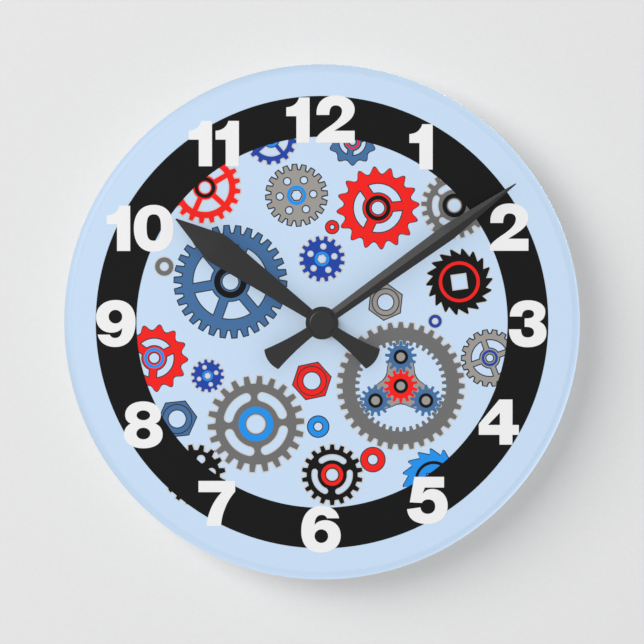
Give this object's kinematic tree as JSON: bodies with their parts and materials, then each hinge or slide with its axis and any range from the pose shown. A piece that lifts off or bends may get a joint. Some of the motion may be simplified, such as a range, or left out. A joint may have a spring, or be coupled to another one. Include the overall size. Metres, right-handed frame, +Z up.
{
  "type": "wall clock",
  "caption": "Round acrylic wall clock with leaf-shaped hour and minute hands, bold numerals on a dark ring, and a battery quartz movement with its gear train behind the dial.",
  "frame": {"origin": "on the axis of the hands, in the plane of the wall that the rear cover rests on", "axes": "+Z up to twelve o'clock, +X to three o'clock, +Y into the wall, so the dial faces -Y"},
  "size_m": [0.2032, 0.033, 0.2032],
  "materials": {
    "printed_acrylic": "gloss, printed under a clear face",
    "hand_paint": "satin black paint",
    "brass": "turned",
    "rubber": "matt",
    "case_plastic": "fine moulded texture",
    "gear_plastic": "natural acetal",
    "bridge_plastic": "natural moulding",
    "steel": "stamped",
    "magnet": "ground",
    "copper_wire": "enamelled wire",
    "board": "solder mask",
    "resin": "cured drop",
    "crystal_can": "drawn can",
    "contact_metal": "nickel plate",
    "cell_wrap": "printed wrap, plain",
    "knob_plastic": "moulded"
  },
  "bodies": {
    "case": {"dial_plate": "printed_acrylic", "dial_nut": "brass", "dial_washer": "brass", "rubber_gasket": "rubber", "hanger_plate": "steel", "hanger_strap": "steel", "threaded_bushing": "brass", "front_case": "case_plastic", "front_plate": "case_plastic", "rear_cover": "case_plastic", "gear_bridge": "bridge_plastic", "stator": "steel", "coil_core": "steel", "coil_bobbin": "bridge_plastic", "coil_winding": "copper_wire", "circuit_board": "board", "chip_blob": "resin", "quartz_crystal": "crystal_can", "positive_contact": "contact_metal", "negative_contact": "contact_metal"},
    "minute_hand": {"minute_hand": "hand_paint", "minute_arbor": "brass", "hand_nut": "hand_paint"},
    "hour_hand": {"hour_hand": "hand_paint", "hour_wheel": "gear_plastic"},
    "minute_wheel": {"minute_wheel": "gear_plastic"},
    "setting": {"setting_wheel": "gear_plastic", "setting_knob": "knob_plastic"},
    "second_wheel": {"second_wheel": "gear_plastic"},
    "third_wheel": {"third_wheel": "gear_plastic"},
    "centre_wheel": {"centre_wheel": "gear_plastic"},
    "intermediate_wheel": {"intermediate_wheel": "gear_plastic"},
    "rotor": {"rotor_pinion": "gear_plastic", "rotor_magnet": "magnet"},
    "battery": {"battery_cell": "cell_wrap"}
  },
  "joints": [
    {"name": "minute_hand_spin", "type": "hinge", "parent": "case", "child": "minute_hand", "pos_m": [0, 0, 0], "axis": [0, 1, 0], "continuous": true},
    {"name": "hour_hand_spin", "type": "hinge", "parent": "case", "child": "hour_hand", "pos_m": [0, 0, 0], "axis": [0, 1, 0], "continuous": true},
    {"name": "second_wheel_spin", "type": "hinge", "parent": "case", "child": "second_wheel", "pos_m": [0, 0, 0], "axis": [0, 1, 0], "continuous": true},
    {"name": "centre_wheel_spin", "type": "hinge", "parent": "case", "child": "centre_wheel", "pos_m": [0, 0, 0], "axis": [0, 1, 0], "continuous": true},
    {"name": "minute_wheel_spin", "type": "hinge", "parent": "case", "child": "minute_wheel", "pos_m": [-0.00385, 0, 0.00825], "axis": [0, 1, 0], "continuous": true},
    {"name": "setting_spin", "type": "hinge", "parent": "case", "child": "setting", "pos_m": [-0.01257, 0, 0.01328], "axis": [0, 1, 0], "continuous": true},
    {"name": "third_wheel_spin", "type": "hinge", "parent": "case", "child": "third_wheel", "pos_m": [-0.009, 0, 0], "axis": [0, 1, 0], "continuous": true},
    {"name": "intermediate_wheel_spin", "type": "hinge", "parent": "case", "child": "intermediate_wheel", "pos_m": [0.00774, 0, 0.00542], "axis": [0, 1, 0], "continuous": true},
    {"name": "rotor_spin", "type": "hinge", "parent": "case", "child": "rotor", "pos_m": [0.01492, 0, 0.00877], "axis": [0, 1, 0], "continuous": true},
    {"name": "battery_slide", "type": "slide", "parent": "case", "child": "battery", "axis": [0, 1, 0], "range_m": [0, 0.018]}
  ],
  "couplings": [
    {"joint": "hour_hand_spin", "follows": "minute_hand_spin", "ratio": 0.083333},
    {"joint": "minute_wheel_spin", "follows": "minute_hand_spin", "ratio": -0.33333},
    {"joint": "setting_spin", "follows": "minute_hand_spin", "ratio": 0.7},
    {"joint": "third_wheel_spin", "follows": "second_wheel_spin", "ratio": -0.13333},
    {"joint": "centre_wheel_spin", "follows": "second_wheel_spin", "ratio": 0.016667},
    {"joint": "intermediate_wheel_spin", "follows": "second_wheel_spin", "ratio": -6},
    {"joint": "rotor_spin", "follows": "second_wheel_spin", "ratio": 30}
  ]
}
